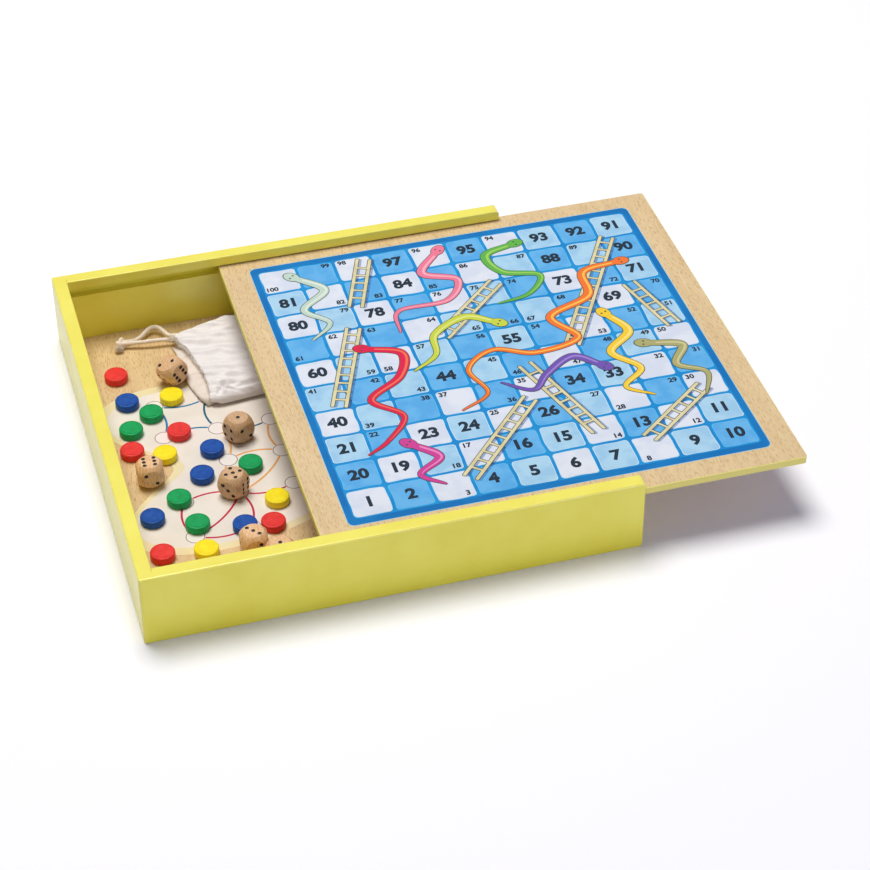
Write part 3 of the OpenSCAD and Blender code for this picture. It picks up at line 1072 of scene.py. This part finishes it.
# %% Cloth and yarn
def calico(name, bright, shade):
    material, tree = new_material(name, 0.85, Sheen_Weight=0.35, Sheen_Roughness=0.5,
                                  Specular_IOR_Level=0.25)
    flat = tree.add("UVMap", uv_map="cloth")["UV"]
    threads = tree.mapped(flat, (THREADS_PER_METRE, THREADS_PER_METRE, 1))
    woven = tree.add("Group", {"Threads": threads}, node_tree=weave)
    slub = tree.ramp(tree.noise(threads, 0.05, 3), 0.35, 0.65)
    colour = tree.mix(slub, srgb(*shade), srgb(*bright))
    # the weave's painted shade: the cloth's colour is darker between the threads
    darker = tree.ramp(woven["Shade"], 0, 1, 0.86, 1.0)
    shaded = tree.add("VectorMath", {0: colour, "Scale": darker}, operation="SCALE")[0]
    tree.give("Base Color", shaded)
    tree.bump(woven["Height"], 0.09 * MM, 0.7)
    return material


def cotton_yarn(name, bright, shade):
    material, tree = new_material(name, 0.9, Sheen_Weight=0.4, Sheen_Roughness=0.6,
                                  Specular_IOR_Level=0.2)
    place = tree.millimetres()
    fuzz = tree.noise(place, 2.6, 4, 0.7)
    slow = tree.ramp(tree.noise(place, 0.35, 2), 0.35, 0.65)
    colour = tree.mix(slow, srgb(*shade), srgb(*bright))
    fibre = tree.ramp(fuzz, 0.35, 0.6, 0.0, 0.35)
    tree.give("Base Color", tree.mix(fibre, colour, srgb(*bright)))
    tree.bump(fuzz, 0.12 * MM, 0.6)
    return material


calico_cloth = calico("calico", (254, 250, 251), (249, 243, 243))
# the hem is the bag's own calico, painted warmer and darker: a painted shade for where it lies
# under the upper cloth
shaded_hem_cloth = calico("calico_hem_shaded", (247, 235, 226), (240, 226, 214))
cord_cotton = cotton_yarn("cord_cotton", (252, 240, 226), (242, 226, 208))
fray_cotton = cotton_yarn("fray_cotton", (254, 250, 246), (248, 242, 236))

# %% [markdown]
# ## Sweeping a section along a line
# Cord, hem and knot are all one move: a closed section carried along a line. The
# section's two directions are carried with it without turning, so that a twist
# is only there where it is asked for. Each station gives a ring of points, and
# faces join ring to ring.


# %% Sweeping
def carried_frames(line):
    """Each point of a line, with two directions square to it that are carried unturned."""
    frames = []
    side = None
    for k, at in enumerate(line):
        run = (line[min(k + 1, len(line) - 1)] - line[max(k - 1, 0)]).normalized()
        if side is None:
            side = run.cross(Vector((0, 0, 1))).normalized()
        side = (side - run * side.dot(run)).normalized()
        frames.append((at, side, run.cross(side)))
    return frames


def join_rings(bm, rings, cloth=None):
    """Faces from ring to ring and over both ends; cloth is a step's size on the flat cloth."""
    uv = bm.loops.layers.uv.new("cloth") if cloth else None
    around = len(rings[0])
    rows = [[bm.verts.new(p) for p in ring] for ring in rings]
    for k, (row, ahead) in enumerate(zip(rows, rows[1:])):
        for j in range(around):
            i = (j + 1) % around
            face = bm.faces.new((row[j], row[i], ahead[i], ahead[j]))
            if uv:
                for loop, (a, b) in zip(face.loops, ((k, j), (k, j + 1), (k + 1, j + 1),
                                                     (k + 1, j))):
                    loop[uv].uv = (a * cloth[0], b * cloth[1])
    for row in (rows[0], rows[-1]):
        bm.faces.new(row)


# %% Lines cut into even steps
def length_of(line):
    return sum((b - a).length for a, b in zip(line, line[1:]))


def along_line(line, t):
    """The point at share t of a line's own length."""
    want = t * length_of(line)
    gone = 0.0
    for a, b in zip(line, line[1:]):
        step = (b - a).length
        if gone + step >= want - 1e-12:
            return a.lerp(b, (want - gone) / max(1e-12, step))
        gone += step
    return line[-1].copy()


def even_line(points, step):
    """A smooth line through the points, cut again into even steps."""
    fine = smooth_line(points, 12)
    count = max(2, round(length_of(fine) / step))
    return [along_line(fine, k / count) for k in range(count + 1)]


# %% Loose threads
def add_thread(bm, start, way, length, thick, droop, draw, steps=4):
    """One loose thread: a thin tapering three-sided tube that wanders and droops."""
    at, way = Vector(start), Vector(way).normalized()
    line = [at.copy()]
    for _ in range(steps):
        stray = Vector((draw.gauss(0, 0.25), draw.gauss(0, 0.25), draw.gauss(0, 0.2) - droop))
        way = (way + stray).normalized()
        at = at + way * length / steps
        at.z = max(at.z, FLOOR_TOP + thick)
        line.append(at.copy())
    rings = []
    for k, (at, side, up) in enumerate(carried_frames(line)):
        reach = thick / 2 * (1 - 0.6 * k / steps)
        rings.append([at + reach * (math.cos(a) * side + math.sin(a) * up)
                      for a in turns(3)])
    join_rings(bm, rings)


# %% [markdown]
# ## The bag
# The bag is two squares of calico sewn round three sides. It lies flat and half
# full. At the mouth the folded hem, which carries the drawstring, lies below and
# further out, and the raw edge of the upper cloth frays over it. The outline is
# four drawn lines, and the inside is filled by blending opposite sides. The
# crown rises slowly from the mouth. Wrinkles run nearly across the box, as the
# photograph shows: noise of several sizes is drawn out along that direction, and
# a few deeper creases are listed one by one.

# %% Measures of the bag
# its outline in millimetres from the middle of the box
BAG_SIDES = {
    "mouth": ((-69.6, 47.4), (-68.7, 54), (-67.8, 64), (-68.3, 73), (-69.6, 84), (-71.4, 95),
              (-74.4, 106.5), (-79.8, 118.4)),
    "bottom": ((50, 52), (53.4, 62), (54, 78), (54.4, 95), (54, 112), (52.6, 124), (48, 133)),
    "front": ((-69.6, 47.4), (-65, 45.6), (-58, 45.6), (-48, 46.6), (-36, 47.6), (-14, 48),
              (12, 49), (34, 49.4), (50, 52)),
    "back": ((-79.8, 118.4), (-75.4, 122.0), (-69, 124), (-57, 126.8), (-38, 131.2),
             (-14, 134.4), (12, 135), (48, 133))}
BAG_FLOOR = FLOOR_TOP + 0.35 * MM
BAG_ALONG, BAG_ACROSS = 150, 110  # steps of the grid, from mouth to bottom and front to back
BAG_LONG, BAG_WIDE = 122, 84  # mm, for the rounding of its edges
FLAT_CLOTH = (0.13, 0.09)  # the same in metres of flat cloth, for the weave
EDGE_ROUND, UNDER_ROUND = 9.0, 6.0
UNDER_TUCK = 4.5 * MM  # how far the lower cloth stays back at the mouth
RAGGED_SEED = 12
RAGGED = 0.45 * MM
BAG_CROWN = (6.6, 7.8, 8.8, 9.8, 10.8, 11.4, 11.2, 10.0, 7.6, 3.0)
RIM_HEIGHT = 3.0
# folds as (distance across, length along their lie, height); the finer ones are sharp
WRINKLES = ((11.0, 60.0, 1.4), (5.4, 26.0, 1.7), (2.7, 13.0, 0.75), (1.4, 8.0, 0.25))
SHARP_BELOW = 6
WRINKLE_LIE = Vector((0.96, -0.28, 0))
# creases as (from x, from y, to x, to y, depth, width)
CREASES = ((-63.5, 49.5, -56.5, 59, 1.9, 1.5), (-52, 51.5, -37, 53.5, 1.7, 1.6),
           (-65, 57, -50, 55.5, 1.6, 1.5), (-58, 67, -43, 60, 1.5, 1.7),
           (-68, 61, -52, 63, 0.9, 1.3), (-55, 79.8, -37, 75.5, 1.0, 2.2),
           (-64, 68.5, -50, 70.5, 0.8, 1.4), (-60, 90, -40, 85, 0.5, 2.0),
           (-30, 110, 20, 96, 1.2, 3.0), (-20, 70, 34, 62, 1.1, 2.6), (10, 124, 44, 112, 0.8, 2))

bag_sides = {title: smooth_line([Vector((x * MM, y * MM, 0)) for x, y in points], 8)
             for title, points in BAG_SIDES.items()}
for title, line in bag_sides.items():
    print(title, round(length_of(line) / MM), "mm")


# %% Steps of the grid, wrinkles and creases
def eased(t):
    """Even steps made finer towards both ends."""
    return 0.5 - 0.5 * math.cos(math.pi * (0.08 + 0.84 * t)) / math.cos(0.08 * math.pi)


def mouthward(t):
    """Even steps made finer towards the mouth, which is the part that shows."""
    return 0.55 * t + 0.45 * t ** 2.4


def crown_height(u):
    at = u * (len(BAG_CROWN) - 1)
    k = min(int(at), len(BAG_CROWN) - 2)
    return BAG_CROWN[k] + (at - k) * (BAG_CROWN[k + 1] - BAG_CROWN[k])


def crease_height(x, y):
    """Each crease is a furrow with a low ridge on either side of it."""
    height = 0.0
    for ax, ay, bx, by, depth, width in CREASES:
        a, b, p = Vector((ax, ay)), Vector((bx, by)), Vector((x, y))
        t = max(0.0, min(1.0, (p - a).dot(b - a) / (b - a).length_squared))
        off = (p - a.lerp(b, t)).length
        ends = math.sin(math.pi * (0.12 + 0.76 * t))
        height -= depth * ends * math.exp(-(off / width) ** 2)
        height += 0.5 * depth * ends * math.exp(-((off - 1.7 * width) / width) ** 2)
    return height


def wrinkle_height(x, y, u):
    """Folds drawn out along one direction, and small gathers at the mouth."""
    lie = WRINKLE_LIE.x * x + WRINKLE_LIE.y * y
    across = WRINKLE_LIE.x * y - WRINKLE_LIE.y * x
    across += 1.6 * noise.noise(Vector((lie / 16, across / 22, 3.7)))
    height = 0.0
    for size, length, amount in WRINKLES:
        fold = noise.noise(Vector((across / size, lie / length, size)))
        height += amount * (0.5 - 2.2 * abs(fold) if size < SHARP_BELOW else 1.6 * fold)
    gather = math.sin(across * 1.55 + 3 * noise.noise(Vector((across / 5, 0, 9))))
    return height + 0.42 * gather * math.exp(-u / 0.05)


print("crown from mouth to bottom, mm:", [round(crown_height(k / 4), 1) for k in range(5)])


# %% Height of the upper cloth
def shoulder(off, reach):
    """Rise of a rounded edge: 0 at the rim, 1 from `reach` millimetres inwards."""
    return (1 - (1 - min(1.0, max(0.0, off / reach))) ** 2) ** 0.5


def from_sides(w):
    return min(w, 1 - w) * BAG_WIDE


def rim_height(w):
    return RIM_HEIGHT * (1 - 0.5 * w)


def bag_top(x, y, u, w):
    """Height of the upper cloth above the floor, in millimetres."""
    rim = rim_height(w) + 0.5
    swell = shoulder(from_sides(w), EDGE_ROUND) * shoulder((1 - u) * BAG_LONG, EDGE_ROUND)
    sag = 0.8 * math.sin(7 * w + 1.1) * math.exp(-u / 0.3)
    crown = crown_height(u) + sag + wrinkle_height(x, y, u) + crease_height(x, y)
    return max(0.5, rim + (crown - rim) * swell)


print("cloth over the middle of the bag:", round(bag_top(-10, 90, 0.5, 0.5), 1), "mm high")

# %% [markdown]
# One flat grid is extruded into two that share their rim. Each corner of a grid
# knows its step from mouth to bottom and from front to back, which gives its
# place in plan, its height and its place on the flat cloth.


# %% The bag's shell
def grid_step(v):
    return round((v.co.x + 0.5) * BAG_ALONG), round((v.co.y + 0.5) * BAG_ACROSS)


def bag_shell():
    bm = bmesh.new()
    bmesh.ops.create_grid(bm, x_segments=BAG_ALONG, y_segments=BAG_ACROSS, size=0.5)
    grown = bmesh.ops.extrude_face_region(bm, geom=list(bm.faces), use_keep_orig=True)["geom"]
    top = set(only(bmesh.types.BMVert, grown))
    steps = {v: grid_step(v) for v in bm.verts}
    along = [mouthward(i / BAG_ALONG) for i in range(BAG_ALONG + 1)]
    across = [eased(j / BAG_ACROSS) for j in range(BAG_ACROSS + 1)]
    mouth, bottom, front, back = (
        [along_line(bag_sides[side], t) for t in shares] for side, shares in
        (("mouth", across), ("bottom", across), ("front", along), ("back", along)))
    ragged = random.Random(RAGGED_SEED)
    teeth = [ragged.uniform(-1, 1) * RAGGED for _ in across]
    for v, (i, j) in steps.items():
        u, w = along[i], across[j]
        corners = ((1 - w) * ((1 - u) * front[0] + u * front[-1])
                   + w * ((1 - u) * back[0] + u * back[-1]))
        plan = ((1 - u) * mouth[j] + u * bottom[j] + (1 - w) * front[i] + w * back[i] - corners)
        if v in top:
            plan.x += teeth[j] * max(0.0, 1 - i / 3)
            rise = bag_top(plan.x / MM, plan.y / MM, u, w)
        else:
            plan.x += UNDER_TUCK * max(0.0, 1 - u / 0.08)
            under = min(shoulder(from_sides(w), UNDER_ROUND),
                        shoulder((1 - u) * BAG_LONG, UNDER_ROUND))
            rise = rim_height(w) * (1 - under)
        v.co = plan + Vector((0, 0, BAG_FLOOR + rise * MM))
    uv = bm.loops.layers.uv.new("cloth")
    for face in bm.faces:
        for loop in face.loops:
            i, j = steps[loop.vert]
            loop[uv].uv = (along[i] * FLAT_CLOTH[0], across[j] * FLAT_CLOTH[1])
    return bm


bag_cloth = make_piece(bag_shell(), "bag_cloth", "bag", [calico_cloth], smooth=True)
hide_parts("bag")

# %% [markdown]
# The hem is a flat tube of cloth, folded over and pressed. Its section is a long
# oval; the line that it follows is the outer fold, and the oval lies inside it.
# The raw edge above gets loose threads, thicker where the cloth turned ragged.

# %% The hem
# the outer fold's line, in millimetres from the middle of the box
HEM = ((-71.2, 46.9), (-74.0, 52.6), (-76.6, 61.0), (-78.6, 70), (-79.7, 80), (-80.0, 90),
       (-80.0, 99), (-80.4, 107), (-81.4, 113))
HEM_WIDTH = 15.0 * MM
HEM_THICK = 3.3 * MM
HEM_STEP = 0.9 * MM
HEM_SIDES = 28


def hem_ring(middle, side, wide, thick, t):
    """A pressed oval, raised and crumpled on its upper side."""
    ring = []
    for a in turns(HEM_SIDES):
        c, s = math.cos(a), math.sin(a)
        out = math.copysign(abs(c) ** 0.85, c) * wide / 2
        rise = math.copysign(abs(s) ** 0.6, s) * thick / 2
        if s > 0:
            rise += 0.55 * MM * noise.noise(Vector((t * 26, c * 2.0, 1.3)))
            rise += 0.9 * MM * max(0.0, c)
        ring.append(middle + side * out + Vector((0, 0, rise)))
    return ring


def make_hem():
    bm = bmesh.new()
    line = even_line([Vector((x * MM, y * MM, 0)) for x, y in HEM], HEM_STEP)
    rings = []
    for k, (at, side, _) in enumerate(carried_frames(line)):
        t = k / (len(line) - 1)
        ends = min(1.0, 0.25 + (t / 0.05) ** 0.5, 0.3 + 6 * (1 - t))
        full = 1 + 0.75 * max(0.0, 1 - t / 0.3) ** 2
        thick = HEM_THICK * full * ends * (1 + 0.12 * noise.noise(Vector((t * 9, 2, 5))))
        wide = HEM_WIDTH * min(1.0, 0.5 + (t / 0.16) ** 0.6 / 2)
        middle = at + side * wide / 2
        middle.z = BAG_FLOOR + thick / 2
        rings.append(hem_ring(middle, side, wide, thick, t))
    join_rings(bm, rings, (HEM_STEP, 1.3 * MM))
    piece = make_piece(bm, "bag_hem", "bag", [shaded_hem_cloth], smooth=True)


make_hem()

# %% Frayed threads
FRAY_SEED = 31
FRAY_THREADS = 520
FRAY_THICK = 0.42 * MM
FRAY_DROOP = 0.1


def make_fray():
    draw = random.Random(FRAY_SEED)
    bm = bmesh.new()
    low_u = mouthward(1 / BAG_ALONG)
    for _ in range(FRAY_THREADS):
        w = 0.03 + 0.96 * draw.random() ** 0.6
        at = along_line(bag_sides["mouth"], w)
        z = bag_top(at.x / MM, at.y / MM, low_u, w) + 0.1
        start = Vector((at.x + 0.3 * MM, at.y, BAG_FLOOR + z * MM))
        way = Vector((-1, draw.gauss(-0.5, 0.4), draw.uniform(-0.3, 0.3) + 0.3 * (w > 0.7)))
        length = draw.uniform(1.0, 2.7) * (0.8 + 2.6 * max(0.0, w - 0.5)) * MM
        add_thread(bm, start, way, length, FRAY_THICK, FRAY_DROOP, draw)
    make_piece(bm, "bag_frayed_threads", "bag", [fray_cotton])


make_fray()

# %% [markdown]
# ## The drawstring
# The drawstring is a cord laid from three strands. Its section is three lobes
# that turn as they go along, which is what a laid cord is. Both strands leave the
# hem, lie loosely on the floor and meet in a knot, whose frayed tails make a
# soft tuft in front of it. The knot is the same cord, tied: a trefoil line drawn
# tight.

# %% The two strands
CORD = 2.8 * MM
LAY_LENGTH = 6.5 * MM  # of cord, for one turn of its three strands
CORD_STEP = 0.45 * MM
CORD_SIDES = 18
# the strands' lines in millimetres from the inner corner, as in the CAD
FRONT_STRAND = ((65.5, -23.6, 4), (58, -23, 4.6), (50, -22.2, 4.9), (42, -21, 4.4),
                (34, -19.2, 3.9), (28, -18.6, 3.9))
BACK_STRAND = ((65.5, -20, 4.2), (60, -18.8, 4.6), (57.4, -14.2, 5), (55.2, -10, 5.2),
               (52.4, -7.7, 5), (48.8, -8, 4.6), (45.2, -10.8, 3.9), (41.4, -13.8, 2.9),
               (37.2, -15, 2.2), (33.4, -15.2, 2.3), (29.8, -15.2, 2.7))


def laid_rings(line, thickness):
    """Rings of a cord of three strands: a lobed section that turns with the way gone."""
    rings, gone = [], 0.0
    for k, (at, side, up) in enumerate(carried_frames(line)):
        if k:
            gone += (at - line[k - 1]).length
        ring = []
        for a in turns(CORD_SIDES):
            lobe = abs(math.cos(1.5 * (a + math.tau * gone / LAY_LENGTH)))
            reach = thickness / 2 * (0.9 + 0.11 * lobe)
            ring.append(at + reach * (math.cos(a) * side + math.sin(a) * up))
        rings.append(ring)
    return rings


def make_strand(title, corners, node):
    line = even_line([CORNER + Vector(p) * MM for p in corners], CORD_STEP)
    bm = bmesh.new()
    join_rings(bm, laid_rings(line, CORD), (CORD_STEP, 0.5 * MM))
    piece = make_piece(bm, title, "bag", [cord_cotton], smooth=True)
    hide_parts(node)


make_strand("drawstring_front", FRONT_STRAND, "cord_front")
make_strand("drawstring_back", BACK_STRAND, "cord_back")

# %% The knot and its tails
KNOT_AT = CORNER + Vector((28.6, -17.0, 3.5)) * MM
KNOT_SIZE = 2.5 * MM
KNOT_CORD = 2.7 * MM
TAIL_AT = CORNER + Vector((26.4, -21.0, 3.0)) * MM
KNOT_TURN, KNOT_TILT = 0.7, 0.5
TAIL_SEED = 8
TAIL_THREADS = 340
TAIL_THICK = 0.34 * MM
TAIL_DROOP = 0.06


def knot_line(size, steps=110):
    """A trefoil, the line of an overhand knot, pulled nearly flat and tight."""
    return [Vector(((math.sin(t) + 2 * math.sin(2 * t)) * 0.34,
                    (math.cos(t) - 2 * math.cos(2 * t)) * 0.34,
                    -math.sin(3 * t) * 0.42)) * size for t in turns(steps)]


def make_knot():
    bm = bmesh.new()
    tied = (Matrix.Translation(KNOT_AT) @ Matrix.Rotation(KNOT_TURN, 4, "Z")
            @ Matrix.Rotation(KNOT_TILT, 4, "X"))
    line = [tied @ p for p in knot_line(KNOT_SIZE)]
    join_rings(bm, laid_rings(line + line[:2], KNOT_CORD), (0.5 * MM, 0.5 * MM))
    draw = random.Random(TAIL_SEED)
    for _ in range(TAIL_THREADS):
        start = TAIL_AT + Vector((draw.uniform(-1.6, 1.6), draw.uniform(-1, 1),
                                  draw.uniform(-1.2, 1.2))) * MM
        way = Vector((draw.gauss(-0.35, 0.6), draw.gauss(-0.8, 0.45), draw.gauss(0.05, 0.45)))
        add_thread(bm, start, way, draw.uniform(1.6, 3.2) * MM, TAIL_THICK, TAIL_DROOP, draw)
    piece = make_piece(bm, "drawstring_knot", "bag", [cord_cotton], smooth=True)
    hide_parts("cord_knot")


make_knot()
